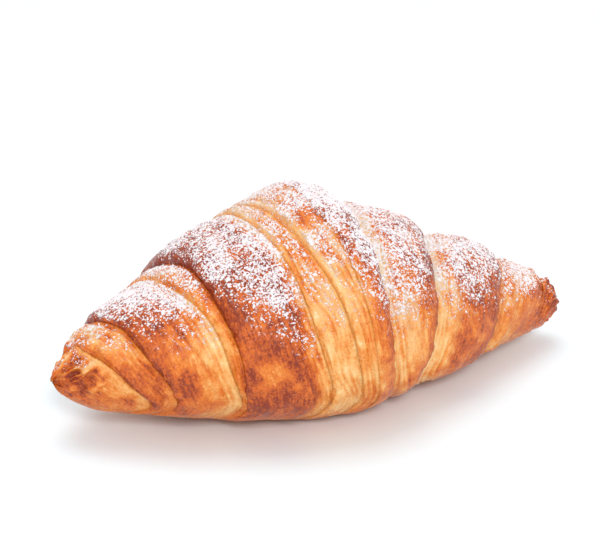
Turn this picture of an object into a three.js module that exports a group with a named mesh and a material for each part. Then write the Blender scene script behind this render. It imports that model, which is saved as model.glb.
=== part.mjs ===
// A straight butter croissant, rolled from one triangle of laminated dough and baked on a flat tray.
// It is one closed solid: a fat spindle whose wraps step down from a tall crown in the middle to two
// knobbly tips. Each wrap ends in a rounded, tucked-under lip that winds round the roll, so that the
// lips lie further out on the back than on the front. Beside the lips run the layered strands.
// Units are millimetres: +X along the roll, -Y towards the front, +Z up, with the flat foot at Z = 0.
import * as THREE from 'three';
import { mergeVertices } from 'three/addons/utils/BufferGeometryUtils.js';

// Driving sizes of the whole roll
const WIDTH = 80;
const HEIGHT = 61.5;
const FATTEST_X = -3.4;
const PEAK_ROUND = 0.1; // how softly the spindle turns over at its fattest place, as a share of an end
const WAIST_HEIGHT = 26.5; // height of the widest level, in the middle of the roll
const FOOT_DEPTH = 3.8; // how far the round underside would reach below the tray, which flattens it
const FOOT_ROUND = 1.6; // the rounding where the underside leaves the tray

// The two ends: where the tip is along X, how the body swells from it, and how fast its underside
// comes down to the tray (below 1, it stays low further out). Then the tip's thickness and height
// above the tray, the length over which it closes, and how far its point droops there.
const LEFT_END = { x: -82, swell: 1.2, under: 0.95, radius: 7.2, height: 18.6, cap: 13, droop: 0.4 };
const RIGHT_END = { x: 81, swell: 0.97, under: 1, radius: 6.4, height: 12.6, cap: 5.5, droop: 0.8 };

// The wraps on each side of the crown, from the middle outwards. back, top and front are the places
// of the lip along X, on the back, on the top and on the front of the roll. drop is the height of the
// lip on the top and frontDrop on the front, nose the length over which it rounds, and crest how far
// it stands above the plain spindle.
const RIGHT_WRAPS = [
  { back: 15, top: 5.4, front: 4.7, drop: 3.9, frontDrop: 2.6, nose: 5.4, crest: 0.9 },
  { back: 41, top: 31.6, front: 19.6, drop: 4.0, frontDrop: 2.2, nose: 5.2, crest: 0.9 },
  { back: 68, top: 58.6, front: 46.0, drop: 2.7, frontDrop: 2.0, nose: 4.4, crest: 1.5 },
  { back: 75, top: 73.4, front: 69.4, drop: 1.2, frontDrop: 0.8, nose: 1.8, crest: -0.3 },
];
const LEFT_WRAPS = [
  { back: -25, top: -17.4, front: -7.7, drop: 1.8, frontDrop: 0.8, nose: 3.0, crest: 0.3 },
  { back: -31, top: -23.3, front: -15.8, drop: 1.1, frontDrop: 0.8, nose: 2.2, crest: 0 },
  { back: -51, top: -43.8, front: -36.8, drop: 2.7, frontDrop: 1.5, nose: 3.6, crest: 1.3 },
  { back: -58, top: -50.0, front: -39.9, drop: 1.1, frontDrop: 0.7, nose: 1.8, crest: 0 },
  { back: -71.5, top: -66.2, front: -56.8, drop: 2.3, frontDrop: 1.4, nose: 3.0, crest: 1.1 },
  { back: -77, top: -75.8, front: -64.6, drop: 1.2, frontDrop: 1.2, nose: 1.6, crest: 0 },
];
const CROWN_CREST = 0.9; // how far the middle of the crown stands above the plain spindle
const FRONT_NOSE = 0.65; // on the front, where the wraps crowd, a nose is this share of its full length
const LIP_TUCK = 0.6; // radians by which a lip curls in under itself

// Unevenness of hand-rolled, baked dough
const LIP_WANDER = 0.6; // how far a lip strays along X
const CREST_SWELL = 0.45; // how far its crest rises and sinks on the way round
const DOUGH_WAVE = 0.45; // the low waves between the lips
const STRAND_DEPTH = 0.34; // the grooves between the layers that show beside each lip
const FULL_WAVE_ROOM = 12; // the waves and grooves shrink where a wrap is narrower than this
const CRAG_DEPTH = 0.7; // the torn knobs of the two tips
const CRAG_REACH = 14; // how far from each end they run
const SEED_STEP = 1.7; // sets the wraps' waves apart from each other

// Where the lips fade out round the underside, in radians from the top
const FADE_START = 1.95;
const FADE_END = 2.75;

// Fineness of the net
const COLUMNS = 44;
const BODY_ROWS = 7;
const LIP_ROWS = 4;
const TIP_ROWS = 6;

const HALF_TURN = Math.PI;
const QUARTER_TURN = Math.PI / 2;
const mix = THREE.MathUtils.lerp;
const smooth = (value, low, high) => THREE.MathUtils.smoothstep(value, low, high);

// Distance from the fattest place, as a share of an end, with its point rounded off.
function roundedShare(away) {
  const rounded = (share) => Math.hypot(share, PEAK_ROUND) - PEAK_ROUND;
  return rounded(away) / rounded(1);
}

// The plain spindle at one place along X: its half width, its centre and its reach up and down.
function spindle(x) {
  const end = x < FATTEST_X ? LEFT_END : RIGHT_END;
  const away = Math.min((x - FATTEST_X) / (end.x - FATTEST_X), 1);
  const swell = 1 - roundedShare(away) ** end.swell;
  const intoCap = Math.max(0, 1 - Math.abs(end.x - x) / end.cap);
  const closing = Math.sqrt(1 - intoCap ** 2);
  return {
    halfWidth: mix(end.radius, WIDTH / 2, swell) * closing,
    centre: mix(end.height, WAIST_HEIGHT, swell) - end.droop * intoCap ** 2,
    up: mix(end.radius, HEIGHT - WAIST_HEIGHT, swell) * closing,
    down: mix(end.radius, WAIST_HEIGHT + FOOT_DEPTH, swell ** end.under) * closing,
    closing,
  };
}

// How much of the lips is left at an angle: all of it over the top, none under the foot.
const lipShare = (angle) => 1 - smooth(Math.abs(angle), FADE_START, FADE_END);

// How far an angle is on the front: none on the top and the back, all of it at the widest level.
const frontShare = (angle) => smooth(angle, 0, QUARTER_TURN);

// Where a lip lies along X at an angle from the top. Both ends meet under the foot.
function lipPlace(wrap, angle, seed) {
  const turn = THREE.MathUtils.clamp(angle / QUARTER_TURN, -1.5, 1.5);
  const slope = (wrap.front - wrap.back) / 2;
  const bend = (wrap.front + wrap.back) / 2 - wrap.top;
  const wound = wrap.top + slope * turn + bend * turn * turn;
  const wander = LIP_WANDER * (Math.sin(2 * angle + seed) + 0.6 * Math.sin(5 * angle + 2.3 * seed));
  const below = smooth(Math.abs(angle), FADE_START, HALF_TURN);
  return mix(wound + wander * lipShare(angle), wrap.top + bend, below);
}

// The low waves and grooves between two lips. across runs from 0 at the lip above to 1 at the lip below.
function doughWave(across, angle, seed) {
  const wave = Math.sin(3 * angle + seed + 4 * across) * Math.sin(HALF_TURN * across);
  const strands = Math.cos(6 * HALF_TURN * across) * (1 - smooth(across, 0.3, 0.6)) * smooth(across, 0, 0.1);
  return DOUGH_WAVE * wave + STRAND_DEPTH * strands;
}

// Torn, knobbly crust close to a tip.
function crag(x, angle) {
  const fromTip = Math.min(x - LEFT_END.x, RIGHT_END.x - x);
  const share = 1 - smooth(fromTip, CRAG_REACH / 3, CRAG_REACH);
  const knobs = Math.sin(5 * angle + 0.5 * x) * Math.cos(0.9 * x + 2 * angle) + 0.5 * Math.sin(9 * angle - x);
  return CRAG_DEPTH * share * knobs;
}

// The crest of a wrap, where its lip starts to round over. side is 1 on the right and -1 on the left.
function crestOf(wraps, index, side, angle) {
  const wrap = wraps[index];
  const seed = side * (index + 1) * SEED_STEP;
  const swell = CREST_SWELL * Math.sin(2 * angle + 3 * seed);
  const nose = wrap.nose * mix(1, FRONT_NOSE, frontShare(angle));
  return {
    x: lipPlace(wrap, angle, seed) - side * nose,
    lift: (wrap.crest + swell) * lipShare(angle),
    nose,
    seed,
  };
}

// The middle of the crown, halfway between the crests of its two lips.
function crownMiddle(angle) {
  const left = crestOf(LEFT_WRAPS, 0, -1, angle);
  const right = crestOf(RIGHT_WRAPS, 0, 1, angle);
  return { x: (left.x + right.x) / 2, lift: CROWN_CREST * lipShare(angle) };
}

// One side of the roll at an angle from the top, as {x, lift} steps from the crown out to the tip.
function sideSteps(wraps, side, angle) {
  const share = lipShare(angle);
  let from = crownMiddle(angle);
  const steps = [from];
  wraps.forEach((wrap, index) => {
    const crest = crestOf(wraps, index, side, angle);
    const room = Math.min(Math.abs(crest.x - from.x) / FULL_WAVE_ROOM, 1);
    for (let row = 1; row <= BODY_ROWS; row += 1) {
      const across = row / BODY_ROWS;
      const rise = Math.sin(QUARTER_TURN * across);
      const wave = doughWave(across, angle, crest.seed) * share * room;
      steps.push({ x: mix(from.x, crest.x, across), lift: mix(from.lift, crest.lift, rise) + wave });
    }
    const drop = mix(wrap.drop, wrap.frontDrop, frontShare(angle)) * share;
    for (let row = 1; row <= LIP_ROWS; row += 1) {
      const turned = row / LIP_ROWS;
      const bow = mix(QUARTER_TURN, -LIP_TUCK, turned);
      const out = mix(turned, Math.cos(bow), share);
      const sunk = (1 - Math.sin(bow)) / (1 + Math.sin(LIP_TUCK));
      steps.push({ x: crest.x + side * crest.nose * out, lift: crest.lift - drop * sunk });
    }
    from = steps.at(-1);
  });
  const tip = side > 0 ? RIGHT_END.x : LEFT_END.x;
  for (let row = 1; row <= TIP_ROWS; row += 1) {
    const across = Math.sin((QUARTER_TURN * row) / TIP_ROWS);
    steps.push({ x: mix(from.x, tip, across), lift: from.lift * (1 - across) });
  }
  return steps;
}

// The soft flattening where the underside meets the tray.
function onTray(z) {
  if (z >= FOOT_ROUND) return z;
  if (z <= -FOOT_ROUND) return 0;
  return (z + FOOT_ROUND) ** 2 / (4 * FOOT_ROUND);
}

// The point on the crust for one step of one column.
function crustPoint({ x, lift }, angle) {
  const body = spindle(x);
  const raised = (lift + crag(x, angle) * lipShare(angle)) * body.closing;
  const y = -(body.halfWidth + raised) * Math.sin(angle);
  const reach = Math.cos(angle) > 0 ? body.up : body.down;
  const z = body.centre + (reach + raised) * Math.cos(angle);
  return new THREE.Vector3(x, y, onTray(z));
}

// The net of the crust: one column of points for each angle, closed by one point at each tip.
function crustGeometry() {
  const columns = [];
  for (let column = 0; column < COLUMNS; column += 1) {
    const angle = -HALF_TURN + (2 * HALF_TURN * column) / COLUMNS;
    const left = sideSteps(LEFT_WRAPS, -1, angle).reverse();
    const right = sideSteps(RIGHT_WRAPS, 1, angle).slice(1);
    columns.push([...left, ...right].map((step) => crustPoint(step, angle)));
  }
  const positions = [];
  const addTriangle = (...corners) => {
    const [a, b, c] = corners;
    if (a.equals(b) || b.equals(c) || c.equals(a)) return;
    corners.forEach((corner) => positions.push(...corner.toArray()));
  };
  columns.forEach((here, column) => {
    const next = columns[(column + 1) % COLUMNS];
    for (let row = 0; row + 1 < here.length; row += 1) {
      addTriangle(here[row], next[row], here[row + 1]);
      addTriangle(next[row], next[row + 1], here[row + 1]);
    }
  });
  const geometry = new THREE.BufferGeometry();
  geometry.setAttribute('position', new THREE.Float32BufferAttribute(positions, 3));
  return geometry;
}

// Sets the middle of the solid's box over the origin, with the foot on Z = 0.
function standOnOrigin(geometry) {
  geometry.computeBoundingBox();
  const { min, max } = geometry.boundingBox;
  geometry.translate(-(min.x + max.x) / 2, -(min.y + max.y) / 2, -min.z);
  return geometry;
}

const crust = new THREE.MeshStandardMaterial({ color: 0xc9772b, roughness: 0.5, metalness: 0 });
const geometry = mergeVertices(standOnOrigin(crustGeometry()), 1e-4);
geometry.computeVertexNormals();
const croissant = new THREE.Mesh(geometry, crust);
croissant.name = 'croissant';

const part = new THREE.Group();
part.add(croissant);

export default part;
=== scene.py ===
"""A straight butter croissant, dusted with powdered sugar, on a pale floor.

The crust is one fine skin over the same roll as the frame's solid: a spindle whose wraps step down
from the crown to the tips. Sizes on the roll are in millimetres, and a mesh is made in metres. Angles
round the roll are in radians from the top, positive to the front.
"""
import logging
import math
from dataclasses import dataclass, field
from enum import Enum
from operator import attrgetter

import bpy
import numpy as np
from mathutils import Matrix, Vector


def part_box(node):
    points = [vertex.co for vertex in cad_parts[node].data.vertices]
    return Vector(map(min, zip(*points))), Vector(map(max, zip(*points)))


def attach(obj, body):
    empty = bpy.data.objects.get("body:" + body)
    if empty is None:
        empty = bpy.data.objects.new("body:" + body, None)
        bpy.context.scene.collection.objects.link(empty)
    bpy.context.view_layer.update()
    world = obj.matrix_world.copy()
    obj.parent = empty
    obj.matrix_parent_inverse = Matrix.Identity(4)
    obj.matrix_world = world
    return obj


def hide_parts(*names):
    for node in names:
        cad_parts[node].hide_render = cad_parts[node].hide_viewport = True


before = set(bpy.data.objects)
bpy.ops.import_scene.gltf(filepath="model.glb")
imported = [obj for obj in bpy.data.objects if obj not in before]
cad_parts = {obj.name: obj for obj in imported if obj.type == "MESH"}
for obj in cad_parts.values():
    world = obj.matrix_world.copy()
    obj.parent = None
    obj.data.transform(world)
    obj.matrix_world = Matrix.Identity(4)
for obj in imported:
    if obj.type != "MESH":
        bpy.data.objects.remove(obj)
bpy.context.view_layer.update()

MM = 0.001
HALF_TURN = math.pi
QUARTER_TURN = math.pi / 2
TINY = 1e-9
NODE = "croissant"
BODY = "root"

# A screen's colour curve is straight up to its knee, and a power above it.
SCREEN_WHITE = 255
SCREEN_KNEE = 0.04045
SCREEN_SLOPE = 12.92
SCREEN_OFFSET = 0.055
SCREEN_POWER = 2.4

Span = tuple[float, float]
Waves = tuple[float, float, float] | float
Socket = bpy.types.NodeSocket

log = logging.getLogger("croissant")


class Side(Enum):
    """The two directions in which the wraps step down from the crown."""

    LEFT = -1
    RIGHT = 1


def mix(low: np.ndarray, high: np.ndarray, share: np.ndarray) -> np.ndarray:
    """Blends low into high by share."""
    return low + (high - low) * share


def smooth(value: np.ndarray, low: float, high: float) -> np.ndarray:
    """Rises softly from 0 at low to 1 at high."""
    share = np.clip((value - low) / (high - low), 0.0, 1.0)
    return share * share * (3.0 - 2.0 * share)


def bell(distance: np.ndarray, width: float) -> np.ndarray:
    """Falls from 1 at no distance to nearly 0 at twice the width."""
    return np.exp(-((distance / width) ** 2))


def tint(red: int, green: int, blue: int) -> tuple[float, float, float, float]:
    """Turns a screen colour into the linear colour that a shader takes.

    Args:
        red: The red channel, 0 to 255.
        green: The green channel.
        blue: The blue channel.

    Returns:
        The linear colour, with a full alpha.
    """
    linear = []
    for channel in (red, green, blue):
        share = channel / SCREEN_WHITE
        curved = ((share + SCREEN_OFFSET) / (1.0 + SCREEN_OFFSET)) ** SCREEN_POWER
        linear.append(share / SCREEN_SLOPE if share <= SCREEN_KNEE else curved)
    return (linear[0], linear[1], linear[2], 1.0)


@dataclass(frozen=True)
class Ripple:
    """One run of noise: its height, its wavelength on each axis, and how far along it is read."""

    height: float
    wavelength: Waves
    shift: float = 0.0


@dataclass(frozen=True)
class Pleats:
    """Sharp-crested folds of two sizes. The level is taken off each, so that they even out."""

    wide: Waves
    narrow: Waves
    narrow_share: float
    level: float


class DoughNoise:
    """Smooth, seeded noise in three dimensions, from -1 to 1."""

    SIZE = 48
    # Keeps every place on the roll on the positive side of the lattice.
    FAR = 1000.0

    def __init__(self, seed: int) -> None:
        """Fills the lattice with random values set by the seed."""
        self.lattice = np.random.default_rng(seed).uniform(-1.0, 1.0, (self.SIZE,) * 3)

    def at(self, points: np.ndarray, wavelength: Waves) -> np.ndarray:
        """Gives the noise at points.

        Args:
            points: Places, with three numbers on the last axis.
            wavelength: Lattice spacing, the same on each axis or one for each.

        Returns:
            One number for each point.
        """
        scaled = points / np.asarray(wavelength, dtype=float) + self.FAR
        cell = np.floor(scaled).astype(int)
        part = scaled - cell
        part = part * part * (3.0 - 2.0 * part)
        total = np.zeros(points.shape[:-1])
        for corner in np.ndindex(2, 2, 2):
            weight = np.ones(points.shape[:-1])
            for axis in range(3):
                weight *= part[..., axis] if corner[axis] else 1.0 - part[..., axis]
            spot = [(cell[..., axis] + corner[axis]) % self.SIZE for axis in range(3)]
            total += weight * self.lattice[spot[0], spot[1], spot[2]]
        return total

    def ripples(self, points: np.ndarray, *ripples: Ripple) -> np.ndarray:
        """Adds up runs of noise at points."""
        return sum(each.height * self.at(points + each.shift, each.wavelength) for each in ripples)

    def ridges(self, points: np.ndarray, wavelength: Waves) -> np.ndarray:
        """Gives sharp-crested folds: 1 on a crest and about 0 between crests."""
        return (1.0 - np.abs(self.at(points, wavelength))) ** 3

    def pleats(self, points: np.ndarray, pleats: Pleats) -> np.ndarray:
        """Gives folds of two sizes, above 0 near a crest and below 0 between crests."""
        narrow = self.ridges(points, pleats.narrow) - pleats.level
        return self.ridges(points, pleats.wide) - pleats.level + pleats.narrow_share * narrow


@dataclass(frozen=True)
class RollEnd:
    """One end of the roll: where its tip is, how the body swells from it, and how it closes."""

    x: float
    swell: float
    under: float
    radius: float
    height: float
    cap: float
    droop: float


@dataclass(frozen=True)
class Bake:
    """How darkly a wrap is baked, from its inner crease out to its lip.

    Toast runs from 0, pale dough, to 1, dark red-brown, and widths are in millimetres.
    """

    inner: float
    pale_width: float
    body: float
    edge: float
    edge_width: float


@dataclass(frozen=True)
class WrapLook:
    """How one wrap is baked on its top and on its sides, how it is dusted, and its layers.

    sugar_reach is the angle from the top, in degrees, at which the sugar ends, and sugar_slant how
    much further it reaches at the inner crease than at the lip. bare is the width beside the inner
    crease that stays free of it, and lip_sugar the share that is left on the lip. The strands are
    the layers that show beside the inner crease, and the lip strands are those beside the lip.
    """

    top: Bake
    side: Bake
    sugar: float
    sugar_reach: float
    bare: float
    strands: int = 0
    lip_strands: int = 0
    lip_sugar: float = 0.25
    sugar_slant: float = 0.0


@dataclass(frozen=True)
class Blotch:
    """A round patch that is baked paler or darker, and may be crinkled or bare of sugar.

    Its place is given by x in millimetres and an angle from the top in degrees.
    """

    x: float
    angle: float
    radius: float
    toast: float
    crinkle: float = 0.0
    bare: float = 0.0


@dataclass(frozen=True)
class Crease:
    """A fine crease in a wrap's body: x = bend * f * f + slope * f + top, f being 1 at 90 degrees."""

    bend: float
    slope: float
    top: float
    start: float
    end: float
    width: float
    depth: float
    # Darkens the colour along the crease: painted shade.
    toast: float
    fade_in: float = 0.3
    fade_out: float = 0.4

    def share(self, x: np.ndarray, angle: np.ndarray) -> np.ndarray:
        """Gives 1 in the crease and 0 away from it.

        Args:
            x: Places along the roll.
            angle: Their angles from the top.

        Returns:
            One share for each place.
        """
        turn = angle / QUARTER_TURN
        place = self.bend * turn**2 + self.slope * turn + self.top
        start, end = math.radians(self.start), math.radians(self.end)
        begun = smooth(angle, start, start + self.fade_in)
        ended = smooth(angle, end - self.fade_out, end)
        return bell(x - place, self.width) * begun * (1.0 - ended)


@dataclass(frozen=True)
class Wrap:
    """One wrap: the places of its lip along X, and the lip's form, in millimetres."""

    back: float
    top: float
    front: float
    drop: float
    front_drop: float
    nose: float
    crest: float
    look: WrapLook
    tuck: float = 0.3


@dataclass
class Strip:
    """Rows of the skin's net, one number for each row and column.

    inner and outer are the distances to the wrap's inner crease and to its lip, and nose runs from 0
    to 1 round the lip. look and wrap have one entry for each row.
    """

    x: np.ndarray
    lift: np.ndarray
    inner: np.ndarray
    outer: np.ndarray
    nose: np.ndarray
    look: list[WrapLook]
    wrap: list[int]

    @staticmethod
    def join(strips: list["Strip"], flip: bool) -> "Strip":
        """Stacks strips in order.

        Args:
            strips: The strips to stack.
            flip: Whether all the rows are then put in reverse.

        Returns:
            One strip with every row.
        """
        order = slice(None, None, -1) if flip else slice(None)
        names = ("x", "lift", "inner", "outer", "nose")
        rows = [np.concatenate([getattr(strip, name) for strip in strips])[order] for name in names]
        looks = [look for strip in strips for look in strip.look]
        wraps = [wrap for strip in strips for wrap in strip.wrap]
        return Strip(*rows, looks[order], wraps[order])

    def each(self, name: str) -> np.ndarray:
        """Gives one value of every row's look as a column. A dotted name reads a bake's value."""
        return np.array([attrgetter(name)(look) for look in self.look])[:, None]


@dataclass
class Roll:
    """The rolled dough: a spindle, and the wraps that step down along it."""

    width: float = 80.0
    height: float = 61.5
    fattest_x: float = -3.4
    peak_round: float = 0.1
    waist_height: float = 26.5
    foot_depth: float = 3.8
    foot_round: float = 1.6
    crown_crest: float = 0.9
    front_nose: float = 0.65
    lip_wander: float = 0.6
    fine_wander: float = 0.6
    steepest_turn: float = 1.5
    crest_swell: float = 0.45
    dough_wave: float = 0.45
    strand_depth: float = 0.34
    strand_waves: int = 3
    strand_start: Span = (0.0, 0.1)
    strand_end: Span = (0.3, 0.6)
    full_wave_room: float = 12.0
    crag_depth: float = 0.7
    fine_crag: float = 0.5
    crag_reach: float = 14.0
    seed_step: float = 1.7
    fade_start: float = 1.95
    fade_end: float = 2.75
    row_step: float = 0.4
    least_rows: int = 6
    lip_rows: int = 10
    tip_row_share: float = 2.2
    least_tip_rows: int = 10
    left_end: RollEnd = RollEnd(x=-82, swell=1.2, under=0.95, radius=7.2, height=18.6, cap=13, droop=0.4)
    right_end: RollEnd = RollEnd(x=81, swell=0.97, under=1, radius=6.4, height=12.6, cap=5.5, droop=0.8)

    def spindle(self, x: np.ndarray) -> dict[str, np.ndarray]:
        """Gives the plain spindle's section at each x.

        Args:
            x: Places along the roll.

        Returns:
            The half width, the centre's height, the reach up and down, and how far the end has
            closed, from 1 along the body to 0 at a tip.
        """
        left, right = vars(self.left_end), vars(self.right_end)
        end = {name: np.where(x < self.fattest_x, left[name], right[name]) for name in left}
        away = np.clip((x - self.fattest_x) / (end["x"] - self.fattest_x), 0.0, 1.0)
        rounded = np.hypot(away, self.peak_round) - self.peak_round
        rounded /= math.hypot(1.0, self.peak_round) - self.peak_round
        swell = np.clip(1.0 - rounded ** end["swell"], 0.0, 1.0)
        into_cap = np.clip(1.0 - np.abs(end["x"] - x) / end["cap"], 0.0, 1.0)
        closing = np.sqrt(1.0 - into_cap**2)
        low_swell = swell ** end["under"]
        return {
            "half_width": mix(end["radius"], self.width / 2, swell) * closing,
            "centre": mix(end["height"], self.waist_height, swell) - end["droop"] * into_cap**2,
            "up": mix(end["radius"], self.height - self.waist_height, swell) * closing,
            "down": mix(end["radius"], self.waist_height + self.foot_depth, low_swell) * closing,
            "closing": closing,
        }

    def lip_share(self, angle: np.ndarray) -> np.ndarray:
        """Gives how much of the lips is left: all over the top, none under the foot."""
        return 1.0 - smooth(np.abs(angle), self.fade_start, self.fade_end)

    def from_tip(self, x: np.ndarray) -> np.ndarray:
        """Gives the distance to the nearer tip."""
        return np.minimum(x - self.left_end.x, self.right_end.x - x)

    def lip_place(self, wrap: Wrap, angle: np.ndarray, seed: float) -> np.ndarray:
        """Gives where a lip lies along X.

        Args:
            wrap: The wrap that the lip ends.
            angle: Each column's angle from the top.
            seed: Sets how the lip wanders.

        Returns:
            One x for each column.
        """
        turn = np.clip(angle / QUARTER_TURN, -self.steepest_turn, self.steepest_turn)
        slope = (wrap.front - wrap.back) / 2
        bend = (wrap.front + wrap.back) / 2 - wrap.top
        wound = wrap.top + slope * turn + bend * turn**2
        fine_wander = self.fine_wander * np.sin(5 * angle + 2.3 * seed)
        wander = self.lip_wander * (np.sin(2 * angle + seed) + fine_wander)
        below = smooth(np.abs(angle), self.fade_start, HALF_TURN)
        return mix(wound + wander * self.lip_share(angle), wrap.top + bend, below)

    def dough_relief(self, across: float, angle: np.ndarray, seed: float) -> np.ndarray:
        """Gives the low waves and grooves between two lips.

        Args:
            across: How far the row is from the inner crease to the lip, 0 to 1.
            angle: Each column's angle from the top.
            seed: Sets where the waves lie.

        Returns:
            One height for each column.
        """
        wave = np.sin(3 * angle + seed + 4 * across) * math.sin(HALF_TURN * across)
        fade = (1.0 - smooth(across, *self.strand_end)) * smooth(across, *self.strand_start)
        strands = math.cos(2 * self.strand_waves * HALF_TURN * across) * fade
        return self.dough_wave * wave + self.strand_depth * strands

    def crag(self, x: np.ndarray, angle: np.ndarray) -> np.ndarray:
        """Gives the torn, knobbly crust close to a tip.

        Args:
            x: Places along the roll.
            angle: Their angles from the top.

        Returns:
            One height for each place.
        """
        share = 1.0 - smooth(self.from_tip(x), self.crag_reach / 3, self.crag_reach)
        knobs = np.sin(5 * angle + 0.5 * x) * np.cos(0.9 * x + 2 * angle)
        return self.crag_depth * share * (knobs + self.fine_crag * np.sin(9 * angle - x))

    def crest_of(self, wrap: Wrap, index: int, side: Side, angle: np.ndarray) -> dict[str, np.ndarray]:
        """Gives where a wrap's lip starts to round over.

        Args:
            wrap: The wrap.
            index: Its place in its side's order, from the crown outwards.
            side: Which way the wraps step down.
            angle: Each column's angle from the top.

        Returns:
            The crest's x and lift, the length of the lip's nose, and the wrap's seed.
        """
        seed = side.value * (index + 1) * self.seed_step
        swell = self.crest_swell * np.sin(2 * angle + 3 * seed)
        nose = wrap.nose * mix(1.0, self.front_nose, smooth(angle, 0.0, QUARTER_TURN))
        return {
            "x": self.lip_place(wrap, angle, seed) - side.value * nose,
            "lift": (wrap.crest + swell) * self.lip_share(angle),
            "nose": nose,
            "seed": seed,
        }

    def side_strip(
        self,
        wraps: list[Wrap],
        tip_look: WrapLook,
        side: Side,
        crown: dict[str, np.ndarray],
        angle: np.ndarray,
    ) -> Strip:
        """Builds one side's rows, from the crown's middle out to the tip.

        Args:
            wraps: The side's wraps, from the crown outwards.
            tip_look: How the last stretch, beyond the last lip, is baked.
            side: Which way the wraps step down.
            crown: The x and lift of the crown's middle, for each column.
            angle: Each column's angle from the top.

        Returns:
            The rows, without the crown's middle itself.
        """
        share = self.lip_share(angle)
        start_x, start_lift = crown["x"], crown["lift"]
        strips = []
        for index, wrap in enumerate(wraps):
            crest = self.crest_of(wrap, index, side, angle)
            span = np.abs(crest["x"] - start_x)
            room = np.minimum(span / self.full_wave_room, 1.0)
            count = max(self.least_rows, round(float(np.median(span)) / self.row_step))
            rows = {"x": [], "lift": [], "inner": [], "outer": [], "nose": []}
            for row in range(1, count + 1):
                across = row / count
                wave = self.dough_relief(across, angle, crest["seed"]) * share * room
                rows["x"].append(mix(start_x, crest["x"], across))
                rows["lift"].append(mix(start_lift, crest["lift"], math.sin(QUARTER_TURN * across)) + wave)
                rows["inner"].append(span * across)
                rows["outer"].append(span * (1.0 - across) + crest["nose"])
                rows["nose"].append(np.zeros_like(angle))
            drop = mix(wrap.drop, wrap.front_drop, smooth(angle, 0.0, QUARTER_TURN)) * share
            for row in range(1, self.lip_rows + 1):
                turned = row / self.lip_rows
                bow = mix(QUARTER_TURN, -wrap.tuck, turned)
                out = mix(turned, math.cos(bow), share)
                sunk = (1.0 - math.sin(bow)) / (1.0 + math.sin(wrap.tuck))
                rows["x"].append(crest["x"] + side.value * crest["nose"] * out)
                rows["lift"].append(crest["lift"] - drop * sunk)
                rows["inner"].append(span + crest["nose"] * out)
                rows["outer"].append(crest["nose"] * (1.0 - out))
                rows["nose"].append(np.full_like(angle, turned))
            total = count + self.lip_rows
            numbers = (np.array(rows[name]) for name in rows)
            strips.append(Strip(*numbers, [wrap.look] * total, [side.value * (index + 1)] * total))
            start_x, start_lift = rows["x"][-1], rows["lift"][-1]
        tip = self.right_end.x if side is Side.RIGHT else self.left_end.x
        strips.append(self.tip_strip(tip_look, tip, start_x, start_lift, side.value * (len(wraps) + 1)))
        return Strip.join(strips, flip=side is Side.LEFT)

    def tip_strip(
        self, look: WrapLook, tip: float, start_x: np.ndarray, start_lift: np.ndarray, tag: int
    ) -> Strip:
        """Builds the rows beyond the last lip, which close on the tip.

        Args:
            look: How the stretch is baked and dusted.
            tip: The tip's x.
            start_x: The x at which each column starts.
            start_lift: The lift at which each column starts.
            tag: The number that stands for the stretch among the wraps.

        Returns:
            The rows, closer together towards the tip.
        """
        span = np.abs(tip - start_x)
        spacing = self.row_step / self.tip_row_share
        count = max(self.least_tip_rows, round(float(np.median(span)) / spacing))
        steps = np.sin(QUARTER_TURN * np.arange(1, count + 1) / count)[:, None]
        inner = span * steps
        lift = start_lift * (1.0 - steps)
        nose = np.zeros_like(inner)
        return Strip(mix(start_x, tip, steps), lift, inner, span - inner, nose, [look] * count, [tag] * count)

    def on_tray(self, z: np.ndarray) -> np.ndarray:
        """Flattens the underside softly where it meets the tray."""
        soft = (z + self.foot_round) ** 2 / (4 * self.foot_round)
        return np.where(z >= self.foot_round, z, np.where(z <= -self.foot_round, 0.0, soft))

    def points(self, x: np.ndarray, lift: np.ndarray, angle: np.ndarray) -> np.ndarray:
        """Gives the places on the crust, in millimetres.

        Args:
            x: Places along the roll, by row and column.
            lift: How far each stands out from the spindle.
            angle: Each column's angle from the top.

        Returns:
            The places by row, column and axis.
        """
        body = self.spindle(x)
        raised = (lift + self.crag(x, angle) * self.lip_share(angle)) * body["closing"]
        y = -(body["half_width"] + raised) * np.sin(angle)
        reach = np.where(np.cos(angle) > 0.0, body["up"], body["down"])
        z = body["centre"] + (reach + raised) * np.cos(angle)
        return np.stack([x, y, self.on_tray(z)], axis=-1)


# Each look gives the bake of its top and of its sides, then the sugar, its reach and the bare width.
CROWN_RIGHT = WrapLook(
    Bake(0.72, 1.0, 0.94, 1.16, 5.0), Bake(0.54, 1.0, 0.58, 0.82, 3.5), 0.76, 96, 0.0,
    lip_sugar=1.2, sugar_slant=-18,
)
FIRST_RIGHT = WrapLook(
    Bake(0.06, 5.5, 0.84, 1.14, 5.0), Bake(0.26, 2.0, 0.3, 0.95, 6.0), 0.51, 116, 0.0, 3,
    lip_sugar=0.4, sugar_slant=40,
)
SECOND_RIGHT = WrapLook(
    Bake(0.12, 8.0, 0.9, 1.14, 5.0), Bake(0.24, 9.0, 0.8, 0.9, 5.0), 0.65, 94, 0.0, 4, lip_sugar=0.65
)
# The top's dark inner value stands partly for the shadow of the lip above it: painted shade.
THIRD_RIGHT = WrapLook(Bake(0.66, 2.0, 0.6, 0.9, 3.0), Bake(0.5, 5.0, 0.64, 0.84, 5.0), 0.54, 96, 1.2, 3)
RIGHT_TIP = WrapLook(Bake(0.62, 2.0, 0.76, 0.94, 5.0), Bake(0.74, 2.0, 0.84, 0.96, 5.0), 0.44, 92, 1.0, 4)
CROWN_LEFT = WrapLook(
    Bake(0.64, 1.0, 0.54, 0.2, 1.7), Bake(0.48, 1.5, 0.46, 0.4, 2.0), 0.52, 86, 0.0,
    lip_strands=4, lip_sugar=0.8,
)
FIRST_LEFT = WrapLook(
    Bake(0.46, 2.5, 0.42, 0.34, 1.5), Bake(0.3, 2.0, 0.3, 0.4, 1.5), 0.43, 98, 0.7, 4, lip_sugar=0.8
)
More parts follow.
